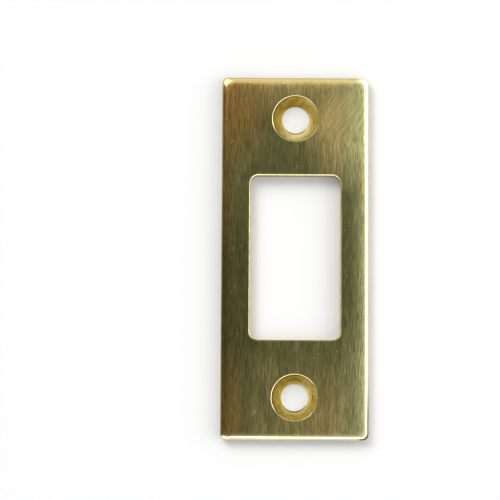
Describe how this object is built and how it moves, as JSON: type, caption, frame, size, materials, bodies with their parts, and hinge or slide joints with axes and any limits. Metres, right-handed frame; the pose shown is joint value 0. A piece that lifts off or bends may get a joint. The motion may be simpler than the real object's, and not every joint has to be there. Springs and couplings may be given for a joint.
{
  "type": "door strike plate",
  "caption": "Flat rectangular brass strike plate with buffed front edges, a rounded rectangular bolt opening in the middle and a countersunk screw hole near each end.",
  "frame": {"origin": "middle of the back face, which lies against the door frame", "axes": "+X across the plate, +Y along it, +Z out of the front face"},
  "size_m": [0.0286, 0.0702, 0.0024],
  "materials": {
    "brass": "unlacquered satin brass, brushed along its length, lightly tarnished, edges buffed bright"
  },
  "bodies": {
    "root": {"strike_plate": "brass"}
  },
  "joints": []
}
